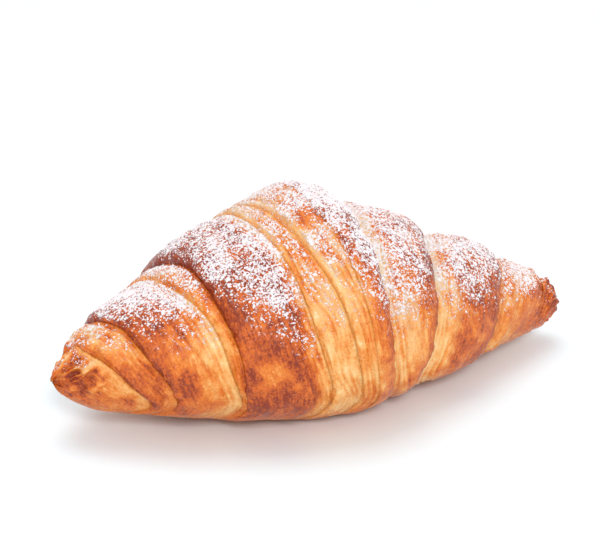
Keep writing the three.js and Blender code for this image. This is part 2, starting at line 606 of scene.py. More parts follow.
SECOND_LEFT = WrapLook(
    Bake(0.4, 3.0, 0.98, 1.16, 5.5), Bake(0.38, 4.0, 0.84, 1.0, 6.0), 0.66, 93, 0.3, 4,
    lip_sugar=0.05, sugar_slant=44,
)
# The dark inner values stand partly for the shadow that the lip above casts beside the inner crease: painted
# shade.
THIRD_LEFT = WrapLook(
    Bake(0.84, 2.2, 0.68, 0.6, 1.5), Bake(0.7, 1.4, 0.56, 0.6, 1.5), 0.78, 68, 1.0, 1, lip_sugar=0.6
)
FOURTH_LEFT = WrapLook(
    Bake(0.42, 5.0, 0.86, 1.1, 4.5), Bake(0.28, 7.5, 0.64, 0.96, 5.0), 0.86, 76, 0.4, 3, sugar_slant=20
)
FIFTH_LEFT = WrapLook(
    Bake(0.78, 1.6, 0.42, 0.7, 1.8), Bake(0.72, 1.0, 0.66, 0.92, 2.2), 0.44, 78, 0.8, 4, lip_sugar=0.4
)
LEFT_TIP = WrapLook(
    Bake(0.34, 2.5, 0.56, 0.74, 6.0), Bake(0.46, 3.0, 0.7, 0.86, 7.0), 0.26, 84, 0.8, lip_sugar=0.4
)

RIGHT_WRAPS = [
    Wrap(15, 5.4, 4.7, 3.9, 2.6, 5.4, 0.9, CROWN_RIGHT),
    Wrap(41, 31.6, 19.6, 4.0, 2.2, 5.2, 0.9, FIRST_RIGHT),
    Wrap(68, 58.6, 46.0, 2.7, 2.0, 4.4, 1.5, SECOND_RIGHT),
    Wrap(75, 73.4, 69.4, 1.2, 0.8, 1.8, -0.3, THIRD_RIGHT, tuck=-0.3),
]
LEFT_WRAPS = [
    Wrap(-25, -17.4, -7.7, 1.8, 0.8, 3.0, 0.3, CROWN_LEFT, tuck=-0.6),
    Wrap(-31, -23.3, -15.8, 1.1, 0.8, 2.2, 0, FIRST_LEFT, tuck=-0.6),
    Wrap(-51, -43.8, -36.8, 2.7, 1.5, 3.6, 1.3, SECOND_LEFT),
    Wrap(-58, -50.0, -39.9, 1.1, 0.7, 1.8, 0, THIRD_LEFT, tuck=-0.6),
    Wrap(-71.5, -66.2, -56.8, 2.3, 1.4, 3.0, 1.1, FOURTH_LEFT),
    Wrap(-77, -75.8, -64.6, 1.2, 1.2, 1.6, 0, FIFTH_LEFT, tuck=-0.3),
]
BLOTCHES = [
    Blotch(x=-30.5, angle=89, radius=4.2, toast=-0.28),
    Blotch(x=-29.0, angle=108, radius=5.5, toast=0.04),
    Blotch(x=-0.6, angle=84, radius=6.0, toast=0.1),
    Blotch(x=-51.3, angle=92, radius=5.0, toast=0.1),
    Blotch(x=-74.5, angle=82, radius=4.5, toast=0.06),
    Blotch(x=-5.0, angle=50, radius=7.0, toast=-0.16, crinkle=1.0),
    Blotch(x=-27.0, angle=62, radius=9.0, toast=0.0, crinkle=0.35),
    Blotch(x=-10.0, angle=20, radius=5.0, toast=0.14, crinkle=0.3, bare=0.6),
    Blotch(x=31.0, angle=28, radius=5.0, toast=0.1, crinkle=0.2, bare=0.5),
]
CREASES = [
    Crease(bend=-3.98, slope=23.23, top=-36.56, start=34, end=116, width=0.55, depth=0.5, toast=0.2),
    Crease(bend=-3.2, slope=22.0, top=-34.2, start=50, end=112, width=0.5, depth=0.35, toast=0.08),
    Crease(bend=-2.0, slope=20.0, top=-63.0, start=40, end=112, width=0.6, depth=0.3, toast=0.2),
]


@dataclass
class Skin:
    """The skin's net before its relief, and the marks on it that relief, baking and sugar share.

    plain holds the places on the roll, and dough the same places on the dough rolled out flat: the
    distance from the wrap's inner crease, the distance round the roll, and a number for the wrap.
    """

    roll: Roll
    strip: Strip
    angle: np.ndarray
    noise: DoughNoise = field(default_factory=lambda: DoughNoise(seed=11))
    unroll_share: float = 0.5
    unroll_radius: float = 15.0
    wrap_spacing: float = 31.0
    torn_reach: float = 16.0
    fold_pleats: Pleats = Pleats(wide=3.0, narrow=1.5, narrow_share=0.6, level=0.36)
    fold_stretch: float = 0.35
    fold_rise: float = 1.3
    fold_lean: float = 0.9
    fold_from_crease: Span = (0.0, 3.0)
    fold_from_lip: Span = (0.5, 4.0)
    fold_round: Span = (1.5, 2.4)
    patch_ragged: Ripple = Ripple(0.3, 3.0)
    patch_core: float = 0.5
    patch_rim: float = 1.4
    strand_limit: int = 4
    strand_start: float = 1.2
    strand_spacing: float = 1.55
    strand_width: float = 0.5
    strand_from_lip: float = 0.8
    strand_drift: Ripple = Ripple(0.9, (math.inf, 14.0, 1.0))
    strand_spread: float = 0.3
    strand_gaps: Waves = (1.0, 11.0, 1.0)
    strand_gap_shift: float = 7.7
    strand_fade: Span = (-0.6, 0.1)

    def __post_init__(self) -> None:
        """Works out the places on the roll and on the flat dough, and the shares for each column."""
        self.plain = self.roll.points(self.strip.x, self.strip.lift, self.angle)
        radius = np.hypot(self.plain[..., 1], self.plain[..., 2] - self.roll.waist_height)
        around = self.angle * (radius * self.unroll_share + self.unroll_radius)
        wrap = np.broadcast_to(np.array(self.strip.wrap)[:, None] * self.wrap_spacing, around.shape)
        self.dough = np.stack([self.strip.inner, around, wrap], axis=-1)
        self.lip_share = self.roll.lip_share(self.angle)
        self.from_top = np.abs(self.angle)
        self.on_left = self.plain[..., 0] < 0.0

    def tip_share(self) -> np.ndarray:
        """Gives 1 at the tips and 0 beyond the torn crust's reach."""
        return 1.0 - smooth(self.roll.from_tip(self.strip.x), self.torn_reach / 4, self.torn_reach)

    def folds(self) -> np.ndarray:
        """Gives the slanting folds of the torn tips.

        Returns:
            Numbers that are high on a fold, low in between, and 0 away from the tips.
        """
        x, y, z = self.plain[..., 0], self.plain[..., 1], self.plain[..., 2]
        slanting = np.stack([self.fold_stretch * x, y, self.fold_rise * z - self.fold_lean * x], axis=-1)
        clear = smooth(self.strip.inner, *self.fold_from_crease)
        clear = clear * smooth(self.strip.outer, *self.fold_from_lip)
        clear = clear * (1.0 - smooth(self.from_top, *self.fold_round))
        return self.noise.pleats(slanting, self.fold_pleats) * self.tip_share() * clear

    def patch(self, blotch: Blotch) -> np.ndarray:
        """Gives the share of a blotch at each place.

        Args:
            blotch: The blotch.

        Returns:
            Numbers from 1 in its middle to 0 outside it.
        """
        turned = np.radians([[blotch.angle]])
        centre = self.roll.points(np.array([[blotch.x]]), np.zeros((1, 1)), turned)
        away = np.linalg.norm(self.plain - centre, axis=-1)
        away = away * (1.0 + self.noise.ripples(self.plain, self.patch_ragged))
        return 1.0 - smooth(away, self.patch_core * blotch.radius, self.patch_rim * blotch.radius)

    def grooves(self) -> np.ndarray:
        """Gives the creases between the layers that show beside creases and lips.

        Returns:
            Numbers from 1 in a crease to 0 away from it.
        """
        along = self.dough * [0.0, 1.0, 1.0]
        drift = self.noise.ripples(self.dough, self.strand_drift)
        total = np.zeros_like(self.strip.inner)
        for strand in range(self.strand_limit):
            place = self.strand_start + self.strand_spacing * strand
            place = place + drift * (1.0 + self.strand_spread * strand)
            gaps = self.noise.at(along + strand * self.strand_gap_shift, self.strand_gaps)
            inner = bell(self.strip.inner - place, self.strand_width)
            outer = bell(self.strip.outer - place - self.strand_from_lip, self.strand_width)
            inner = inner * (self.strip.each("strands") > strand)
            outer = outer * (self.strip.each("lip_strands") > strand)
            total = np.maximum(total, np.maximum(inner, outer) * smooth(gaps, *self.strand_fade))
        return total


@dataclass(frozen=True)
class Relief:
    """What stands out from the roll: blisters, fibres, strands, ragged lips, torn tips and creases."""

    blisters: tuple[Ripple, ...] = (Ripple(0.2, 7.0), Ripple(0.12, 3.1), Ripple(0.05, 1.5))
    fibres: tuple[Ripple, ...] = (Ripple(0.12, (0.9, 8.0, 1.0)), Ripple(0.12, (2.1, 16.0, 1.0)))
    strand_groove: float = 0.45
    torn_edge: tuple[Ripple, ...] = (Ripple(0.42, (math.inf, 3.2, 1.0)), Ripple(0.252, (9.0, 1.4, 1.0)))
    torn_width: float = 1.4
    crinkles: Pleats = Pleats(wide=(2.6, 3.6, 1.0), narrow=(1.3, 2.2, 1.0), narrow_share=0.5, level=0.4)
    fold_depth: float = 1.3
    knobs: tuple[Ripple, ...] = (Ripple(1.15, 4.8), Ripple(0.46, 2.6, 60.0))
    neck_x: float = 75.5
    neck_wander: Ripple = Ripple(1.0, 6.0)
    neck_width: float = 1.2
    neck_depth: float = 0.6

    def height(self, skin: Skin) -> np.ndarray:
        """Gives how far each place stands out from the plain roll.

        Args:
            skin: The net.

        Returns:
            Heights in millimetres.
        """
        noise = skin.noise
        height = noise.ripples(skin.plain, *self.blisters) + noise.ripples(skin.dough, *self.fibres)
        height -= self.strand_groove * skin.grooves() * skin.lip_share
        torn = noise.ripples(skin.dough, *self.torn_edge)
        height += torn * bell(skin.strip.outer, self.torn_width) * skin.lip_share
        height += np.where(skin.on_left, self.fold_depth * skin.folds(), self.right_tip(skin))
        crinkles = noise.pleats(skin.dough, self.crinkles)
        for blotch in BLOTCHES:
            height += blotch.crinkle * crinkles * skin.patch(blotch)
        for crease in CREASES:
            height -= crease.depth * crease.share(skin.plain[..., 0], skin.angle)
        return height

    def right_tip(self, skin: Skin) -> np.ndarray:
        """Gives the knobs and the neck of the right tip.

        Args:
            skin: The net.

        Returns:
            Heights in millimetres, 0 away from the tips.
        """
        wander = skin.noise.ripples(skin.plain, self.neck_wander)
        neck = bell(skin.plain[..., 0] - self.neck_x + wander, self.neck_width)
        knobs = skin.noise.ripples(skin.plain, *self.knobs)
        return (knobs - self.neck_depth * neck) * skin.tip_share()


@dataclass(frozen=True)
class Baking:
    """How darkly the skin is baked, from 0, pale dough, to 1, dark red-brown, with painted shade in creases,
    grooves, under the lips and in the folds' valleys.
    """

    top_to_side: Span = (0.7, 1.35)
    rise: Span = (0.25, 1.5)
    rise_wander: Ripple = Ripple(0.22, (4.0, 9.0, 1.0))
    edge_ragged: Ripple = Ripple(0.35, (3.0, 7.0, 1.0), 30.0)
    edge_flat: float = 0.4
    edge_power: float = 1.6
    mottle: tuple[Ripple, ...] = (Ripple(0.12, 9.0, 150.0), Ripple(0.16, 3.6, 90.0), Ripple(0.12, 1.8, 30.0))
    groove_shade_toast: float = 0.2
    fold_flake_and_shade: float = 0.68
    knob_toast: float = 0.3
    scorch: float = 0.84
    scorch_left: float = 0.5
    crease_shade_toast: float = 0.5
    crease_width: float = 0.7
    lip_turned: Span = (0.6, 1.0)
    under_toast: float = 0.66
    under_mottle: Ripple = Ripple(0.1, 5.0)
    side_to_under: Span = (2.1, 2.6)

    def of_wraps(self, skin: Skin) -> np.ndarray:
        """Gives each wrap's own bake, from its inner crease out to its lip.

        Args:
            skin: The net.

        Returns:
            The toast, before blotches, creases and mottling.
        """
        sideness = smooth(skin.from_top, *self.top_to_side)
        names = ("inner", "pale_width", "body", "edge", "edge_width")
        inner, pale, body, edge, edge_width = (
            mix(skin.strip.each(f"top.{name}"), skin.strip.each(f"side.{name}"), sideness) for name in names
        )
        wander = pale * skin.noise.ripples(skin.dough, self.rise_wander)
        rise = smooth(skin.strip.inner + wander, self.rise[0] * pale, self.rise[1] * pale)
        ragged = 1.0 + skin.noise.ripples(skin.dough, self.edge_ragged)
        from_edge = np.maximum(skin.strip.outer - self.edge_flat, 0.0) / (edge_width * ragged)
        return mix(mix(inner, body, rise), edge, np.exp(-(from_edge**self.edge_power)))

    def toast(self, skin: Skin) -> np.ndarray:
        """Gives how darkly each place is baked, with painted shade added in creases, grooves, under the lips
        and in the folds' valleys.

        Args:
            skin: The net.

        Returns:
            Toast from 0 to 1.
        """
        baked = self.of_wraps(skin) + skin.noise.ripples(skin.plain, *self.mottle)
        # Painted shade: the grooves between the layers are darkened.
        baked += self.groove_shade_toast * skin.grooves()
        for blotch in BLOTCHES:
            baked += blotch.toast * skin.patch(blotch)
        # Painted shade: each crease line is darkened along its groove.
        for crease in CREASES:
            baked += crease.toast * crease.share(skin.plain[..., 0], skin.angle)
        # On the left tip the folds turn paler on their crests and darker in their valleys, partly the flakes'
        # own colour and partly painted highlight and painted shade; the right tip takes the same pattern,
        # weaker, as streaks in its colour.
        baked -= np.where(skin.on_left, self.fold_flake_and_shade, self.knob_toast) * skin.folds()
        baked -= self.scorch_left * np.maximum(baked - self.scorch, 0.0)
        # Painted shade: the inner creases and the turned-under lips are darkened to at least the crease
        # level, standing in for the warm shade that falls in them.
        in_crease = 1.0 - smooth(skin.strip.inner, 0.0, self.crease_width)
        shaded_share = np.maximum(smooth(skin.strip.nose, *self.lip_turned), in_crease)
        baked = mix(baked, np.maximum(baked, self.crease_shade_toast), shaded_share * skin.lip_share)
        under = self.under_toast + skin.noise.ripples(skin.plain, self.under_mottle)
        return np.clip(mix(baked, under, smooth(skin.from_top, *self.side_to_under)), 0.0, 1.0)


@dataclass(frozen=True)
class Dusting:
    """How thickly the powdered sugar lies: on what faces up, thinner beside creases and lips."""

    least_span: float = 0.01
    edge_ragged: tuple[Ripple, ...] = (Ripple(0.16, 6.0, 20.0), Ripple(0.1, 2.6, 40.0))
    thinning: Span = (-1.25, 0.1)
    facing: Span = (-0.05, 0.75)
    bare_start: float = 0.5
    bare_end: float = 1.4
    bare_fade: float = 0.4
    least_top_lip: float = 0.75
    top_to_front: Span = (0.3, 1.0)
    lip_fade: Span = (0.6, 7.0)
    under_lip: Span = (0.4, 0.8)
    under_lip_top: float = 0.5
    clumps: tuple[Ripple, ...] = (Ripple(0.36, 8.0, 70.0), Ripple(0.42, 3.4, 10.0))
    most: float = 1.2

    def amount(self, skin: Skin, placed: np.ndarray) -> np.ndarray:
        """Gives how much powdered sugar lies at each place.

        Args:
            skin: The net.
            placed: Its places with the relief on, in millimetres.

        Returns:
            Amounts from 0 to a little over 1.
        """
        strip = skin.strip
        across = strip.inner / (strip.inner + strip.outer + self.least_span)
        slant = np.radians(strip.each("sugar_slant")) * (0.5 - across)
        reach = np.radians(strip.each("sugar_reach")) + slant
        ragged = skin.noise.ripples(placed, *self.edge_ragged)
        thinned = smooth(skin.from_top + ragged, reach + self.thinning[0], reach + self.thinning[1])
        facing = smooth(grid_normals(placed)[..., 2], *self.facing)
        clumps = 1.0 + skin.noise.ripples(placed, *self.clumps)
        amount = strip.each("sugar") * (1.0 - thinned) * facing * self.free(skin) * clumps
        return np.clip(amount, 0.0, self.most)

    def free(self, skin: Skin) -> np.ndarray:
        """Gives how much of the sugar creases, lips and blotches leave.

        Args:
            skin: The net.

        Returns:
            Shares from 0 to about 1.
        """
        strip = skin.strip
        beside = smooth(skin.from_top, *self.top_to_front)
        bare = strip.each("bare")
        off_crease = smooth(strip.inner, self.bare_start * bare, self.bare_end * bare + self.bare_fade)
        kept = strip.each("lip_sugar")
        on_lip = mix(np.maximum(kept, self.least_top_lip), kept, beside)
        off_lip = 1.0 - mix(self.under_lip_top, 1.0, beside) * smooth(strip.nose, *self.under_lip)
        free = off_crease * mix(on_lip, 1.0, smooth(strip.outer, *self.lip_fade)) * off_lip
        for blotch in BLOTCHES:
            free = free * (1.0 - blotch.bare * skin.patch(blotch))
        return free


@dataclass
class Crust:
    """The baked skin: the roll's fine net, with its relief and what each place looks like."""

    roll: Roll
    relief: Relief = Relief()
    baking: Baking = Baking()
    dusting: Dusting = Dusting()
    columns: int = 202
    walk_steps: int = 4000
    under_share: float = 0.3
    side_to_under: Span = (2.0, 2.6)

    def column_angles(self) -> np.ndarray:
        """Spaces the columns closely over the top and sides, and widely under the foot.

        Returns:
            Each column's angle from the top.
        """
        fine = np.linspace(-HALF_TURN, HALF_TURN, self.walk_steps + 1)
        density = mix(1.0, self.under_share, smooth(np.abs(fine), *self.side_to_under))
        walked = np.concatenate([[0.0], np.cumsum((density[1:] + density[:-1]) / 2)])
        stops = np.linspace(0.0, walked[-1], self.columns + 1)[:-1]
        return np.interp(stops, walked, fine)

    def rows(self, angle: np.ndarray) -> Strip:
        """Joins the rows of both sides at the crown's middle.

        Args:
            angle: Each column's angle from the top.

        Returns:
            All the rows, from the left tip to the right one.
        """
        left_crest = self.roll.crest_of(LEFT_WRAPS[0], 0, Side.LEFT, angle)
        right_crest = self.roll.crest_of(RIGHT_WRAPS[0], 0, Side.RIGHT, angle)
        crown = {
            "x": (left_crest["x"] + right_crest["x"]) / 2,
            "lift": self.roll.crown_crest * self.roll.lip_share(angle),
        }
        left = self.roll.side_strip(LEFT_WRAPS, LEFT_TIP, Side.LEFT, crown, angle)
        right = self.roll.side_strip(RIGHT_WRAPS, RIGHT_TIP, Side.RIGHT, crown, angle)
        return Strip.join([left, right], flip=False)

    def build(self) -> bpy.types.Object:
        """Makes the skin's mesh.

        Returns:
            The object, with its toast, dusting and dough attributes.
        """
        angle = self.column_angles()
        skin = Skin(self.roll, self.rows(angle), angle)
        placed = skin.plain + grid_normals(skin.plain) * self.relief.height(skin)[..., None]
        placed[..., 2] = np.maximum(placed[..., 2], 0.0)
        self.place_over_solid(placed)
        # The toast attribute carries the bake together with the painted shade in creases, grooves, under the
        # lips and in the folds' valleys.
        numbers = {"toast": self.baking.toast(skin), "dusting": self.dusting.amount(skin, placed)}
        crust = grid_mesh("crust", placed * MM, numbers, {"dough": skin.dough})
        log.info("crust: %d faces", len(crust.data.polygons))
        return crust

    def place_over_solid(self, placed: np.ndarray) -> None:
        """Sets the middle of the skin's box over the middle of the solid's box.

        Args:
            placed: The skin's places, which are moved.
        """
        low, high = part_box(NODE)
        for axis in range(2):
            middle = (low[axis] + high[axis]) / 2 / MM
            placed[..., axis] += middle - (placed[..., axis].min() + placed[..., axis].max()) / 2


def grid_normals(points: np.ndarray) -> np.ndarray:
    """Gives the outward unit normals of a net whose columns close round the roll.

    Args:
        points: Places by row, column and axis.

    Returns:
        One unit vector for each place.
    """
    down = np.gradient(points, axis=0)
    around = np.roll(points, -1, axis=1) - np.roll(points, 1, axis=1)
    normals = np.cross(around, down)
    return normals / np.maximum(np.linalg.norm(normals, axis=-1, keepdims=True), TINY)


def flat(values: np.ndarray) -> np.ndarray:
    """Lists a net's values in the order of its mesh's points, with one for each end."""
    inside = values[1:-1].reshape(-1, *values.shape[2:])
    return np.concatenate([values[:1, 0], inside, values[-1:, 0]])


def grid_mesh(
    name: str, points: np.ndarray, numbers: dict[str, np.ndarray], vectors: dict[str, np.ndarray]
) -> bpy.types.Object:
    """Makes a closed mesh from a net whose first and last rows each shrink to one point.

    Args:
        name: The object's name.
        points: Places in metres, by row, column and axis.
        numbers: Attributes with one number for each place.
        vectors: Attributes with one vector for each place.

    Returns:
        The new object, linked to the scene.
    """
    rows, columns = points.shape[:2]
    last = 1 + (rows - 2) * columns
    body = np.arange(1, last).reshape(rows - 2, columns)
    after = np.roll(body, -1, axis=1)
    quads = np.stack([body[:-1], after[:-1], after[1:], body[1:]], axis=-1).reshape(-1, 4)
    first_fan = [(0, int(b), int(a)) for a, b in zip(body[0], after[0])]
    last_fan = [(last, int(a), int(b)) for a, b in zip(body[-1], after[-1])]
    mesh = bpy.data.meshes.new(name)
    mesh.from_pydata(flat(points).tolist(), [], quads.tolist() + first_fan + last_fan)
    for label, values in numbers.items():
        layer = mesh.attributes.new(label, "FLOAT", "POINT")
        layer.data.foreach_set("value", flat(values).astype(np.float32))
    for label, values in vectors.items():
        layer = mesh.attributes.new(label, "FLOAT_VECTOR", "POINT")
        layer.data.foreach_set("vector", flat(values).astype(np.float32).ravel())
    mesh.polygons.foreach_set("use_smooth", [True] * len(mesh.polygons))
    mesh.update()
    return linked(name, mesh)


def linked(name: str, data: bpy.types.ID) -> bpy.types.Object:
    """Puts data into the scene.

    Args:
        name: The object's name.
        data: Its mesh, light or camera.

    Returns:
        The new object.
    """
    made = bpy.data.objects.new(name, data)
    bpy.context.scene.collection.objects.link(made)
    return made


class NodeBench:
    """Adds and joins the nodes of one material."""

    # A colour mix has one pair of inputs for each kind of value, and these two hold the colours.
    FIRST_COLOUR = 6
    SECOND_COLOUR = 7
    MIXED_COLOUR = 2

    def __init__(self, name: str) -> None:
        """Makes the material.

        Args:
            name: The material's name.
        """
        self.material = bpy.data.materials.new(name)
        self.material.use_nodes = True
        self.nodes = self.material.node_tree.nodes
        self.shader = self.nodes["Principled BSDF"]

    def join(self, source: object, target: Socket) -> None:
        """Links a socket to a target, or sets a plain value on it.

        Args:
            source: The socket or the value.
            target: The input that takes it.
        """
        if isinstance(source, Socket):
            self.material.node_tree.links.new(source, target)
        else:
            target.default_value = source

    def put(self, name: str, source: object) -> None:
        """Links or sets one of the shader's own inputs."""
        self.join(source, self.shader.inputs[name])

    def add(self, kind: str, output: str | int, inputs: dict, **settings: object) -> Socket:
        """Adds a node.

        Args:
            kind: The node's type, without the word that all shader nodes start with.
            output: The output that is wanted.
            inputs: The socket or the value for each input, by name or by number.
            settings: The node's own settings.

        Returns:
            The wanted output.
        """
        node = self.nodes.new("ShaderNode" + kind)
        for name, value in settings.items():
            setattr(node, name, value)
        for name, source in inputs.items():
            self.join(source, node.inputs[name])
        return node.outputs[output]

    def attribute(self, name: str, output: str) -> Socket:
        """Reads a mesh attribute, as its Fac or its Vector."""
        return self.add("Attribute", output, {}, attribute_name=name)

    def place(self) -> Socket:
        """Gives the place on the object, in metres."""
        return self.add("TexCoord", "Object", {})

    def sum(self, operation: str, first: object, second: object, clamp: bool = False) -> Socket:
        """Does one sum on two sockets or numbers, held between 0 and 1 if clamp is set."""
        return self.add("Math", 0, {0: first, 1: second}, operation=operation, use_clamp=clamp)

    def swing(self, value: Socket, strength: object) -> Socket:
        """Turns noise from 0 to 1 into a swing about 0."""
        return self.sum("MULTIPLY", self.sum("SUBTRACT", value, 0.5), strength)

    def scaled(self, vector: Socket, by: tuple[float, float, float]) -> Socket:
        """Multiplies a vector, axis by axis."""
        return self.add("VectorMath", 0, {0: vector, 1: by}, operation="MULTIPLY")

    def noise(self, vector: Socket, scale: float, detail: float, distortion: float = 0.0) -> Socket:
        """Gives noise from 0 to 1, about 0.5, with scale waves to a unit of length."""
        inputs = {"Vector": vector, "Scale": scale, "Detail": detail, "Distortion": distortion}
        return self.add("TexNoise", "Fac", inputs)

    def fade(self, value: Socket, low: float, high: float, bottom: float = 0.0, top: float = 1.0) -> Socket:
        """Maps value from low and high onto bottom and top, softly and clamped."""
        inputs = {"Value": value, "From Min": low, "From Max": high, "To Min": bottom, "To Max": top}
        return self.add("MapRange", "Result", inputs, interpolation_type="SMOOTHSTEP")

    def blend(self, share: Socket, first: object, second: object) -> Socket:
        """Mixes two colours, share being the second one's."""
        inputs = {"Factor": share, self.FIRST_COLOUR: first, self.SECOND_COLOUR: second}
        return self.add("Mix", self.MIXED_COLOUR, inputs, data_type="RGBA")

    def bump(self, height: Socket, strength: float, distance: float, under: dict | None = None) -> Socket:
        """Turns a height into a normal; under holds the normal of a bump that it lies on."""
        inputs = {"Strength": strength, "Distance": distance, "Height": height}
        return self.add("Bump", "Normal", inputs | (under or {}))

    def ramp(self, share: Socket, stops: list[tuple[float, tuple]]) -> Socket:
        """Turns a number into a colour.

        Args:
            share: The number.
            stops: Pairs of a place and its colour.

        Returns:
            The colour.
        """
        node = self.nodes.new("ShaderNodeValToRGB")
        node.color_ramp.interpolation = "LINEAR"
        self.join(share, node.inputs["Fac"])
        elements = node.color_ramp.elements
        while len(elements) < len(stops):
            elements.new(0.5)
        for element, (place, colour) in zip(elements, stops):
            element.position = place
            element.color = colour
        return node.outputs["Color"]


@dataclass(frozen=True)
class CrustFinish:
    """Egg-washed, baked dough under powdered sugar.

    Noise is scaled in waves to the millimetre. A swing says how far a pattern moves the toast on pale
    dough and on dark crust.
    """

    cream: tuple = tint(250, 214, 162)
    straw: tuple = tint(242, 188, 119)
    gold: tuple = tint(236, 161, 83)
    amber: tuple = tint(225, 124, 34)
    brown: tuple = tint(203, 91, 14)
    dark: tuple = tint(138, 44, 6)
    sugar: tuple = tint(240, 235, 237)
    streak_scale: tuple = (0.8, 0.08, 1.0)
    fibre_scale: tuple = (1.7, 0.2, 1.0)
    speck_scale: float = 1.3
    streak_swing: Span = (0.34, 0.4)
    fibre_swing: Span = (0.28, 0.42)
    speck_swing: Span = (0.46, 0.6)
    powder_scale: float = 1.15
    drift_scale: float = 0.35
    drift_strength: float = 0.3
    dusting_strength: float = 0.22
    cover_edge: Span = (0.635, 0.715)
    pale_to_dark: Span = (0.3, 0.7)
    haze: float = 0.92
    haze_full: float = 0.7
    haze_specks: Span = (0.44, 0.56)
    glaze_toast: Span = (0.2, 0.7)
    pale_rough: float = 0.34
    glazed_rough: float = 0.17
    sugar_rough: float = 0.55
    shine: float = 0.42
    glow: float = 0.3
    glow_reach: tuple = (0.9, 0.5, 0.28)
    glow_scale: float = 0.0015
    weave_share: float = 0.8
    weave_height: float = 0.0007
    sugar_height: float = 0.0004
    bump_strength: float = 0.8

    def material(self) -> bpy.types.Material:
        """Builds the crust's material from its toast, dusting and dough attributes.

        Returns:
            The material.
        """
        bench = NodeBench("crust")
        place = bench.scaled(bench.place(), (1 / MM,) * 3)
        dough = bench.attribute("dough", "Vector")
        streaks = bench.noise(bench.scaled(dough, self.streak_scale), 1.0, 3.0)
        fibres = bench.noise(bench.scaled(dough, self.fibre_scale), 1.0, 3.0, 0.4)
        specks = bench.noise(place, self.speck_scale, 2.6, 0.6)
        # The toast attribute holds the bake together with painted shade in creases, grooves, under the lips
        # and in the folds' valleys.
        baked = bench.attribute("toast", "Fac")
        toast = baked
        swings = (self.streak_swing, self.fibre_swing, self.speck_swing)
        for pattern, pale_and_dark in zip((streaks, fibres, specks), swings):
            strength = bench.fade(baked, *self.pale_to_dark, *pale_and_dark)
            toast = bench.sum("ADD", toast, bench.swing(pattern, strength))
        stops = [
            (0.06, self.cream),
            (0.26, self.straw),
            (0.44, self.gold),
            (0.62, self.amber),
            (0.82, self.brown),
            (1.0, self.dark),
        ]
        cover = self.cover(bench, place, toast, specks)
        bench.put("Base Color", bench.blend(cover, bench.ramp(toast, stops), self.sugar))
        glaze = bench.fade(toast, *self.glaze_toast, self.pale_rough, self.glazed_rough)
        powdery = bench.sum("MULTIPLY", cover, self.sugar_rough)
        bench.put("Roughness", bench.sum("ADD", glaze, powdery, clamp=True))
        bench.put("Specular IOR Level", self.shine)
        bench.put("Subsurface Weight", self.glow)
        bench.put("Subsurface Radius", self.glow_reach)
        bench.put("Subsurface Scale", self.glow_scale)
        weave = [bench.sum("MULTIPLY", pattern, self.weave_share) for pattern in (fibres, specks)]
        fine = bench.bump(bench.sum("ADD", *weave), self.bump_strength, self.weave_height)
        bench.put("Normal", bench.bump(cover, self.bump_strength, self.sugar_height, {"Normal": fine}))
        return bench.material

    def cover(self, bench: NodeBench, place: Socket, toast: Socket, specks: Socket) -> Socket:
        """Gives how much of the crust the sugar hides: flecks, and a fine haze on pale dough.

        Args:
            bench: The material's bench.
            place: The place on the object, in millimetres.
            toast: How darkly the crust is baked.
            specks: The fine noise that breaks up the haze.

        Returns:
            The share that is hidden.
        """
        dusting = bench.attribute("dusting", "Fac")
        powder = bench.noise(place, self.powder_scale, 2.2, 0.8)
        drifts = bench.noise(place, self.drift_scale, 2.0)
        lying = bench.sum("ADD", powder, bench.swing(drifts, self.drift_strength))
        lying = bench.sum("ADD", lying, bench.sum("MULTIPLY", dusting, self.dusting_strength))
        flecks = bench.sum("MULTIPLY", bench.fade(lying, *self.cover_edge), bench.fade(dusting, 0.0, 0.15))
        on_pale = bench.fade(toast, *self.pale_to_dark, self.haze, 0.0)
        haze = bench.sum("MULTIPLY", on_pale, bench.fade(dusting, 0.0, self.haze_full))
        haze = bench.sum("MULTIPLY", haze, bench.fade(specks, *self.haze_specks))
        return bench.sum("MAXIMUM", flecks, haze)


@dataclass(frozen=True)
class SugarFinish:
    """Loose grains and clumps of powdered sugar."""

    white: tuple = tint(243, 238, 240)
    shade: tuple = tint(228, 219, 222)
    roughness: float = 0.6

    def material(self) -> bpy.types.Material:
        """Builds the grains' material.

        Returns:
            The material.
        """
        bench = NodeBench("sugar")
        clumps = bench.noise(bench.scaled(bench.place(), (1 / MM,) * 3), 3.0, 2.0)
        bench.put("Base Color", bench.ramp(clumps, [(0.3, self.shade), (0.7, self.white)]))
        bench.put("Roughness", self.roughness)
        bench.put("Normal", bench.bump(clumps, 0.3, 0.2 * MM))
        return bench.material


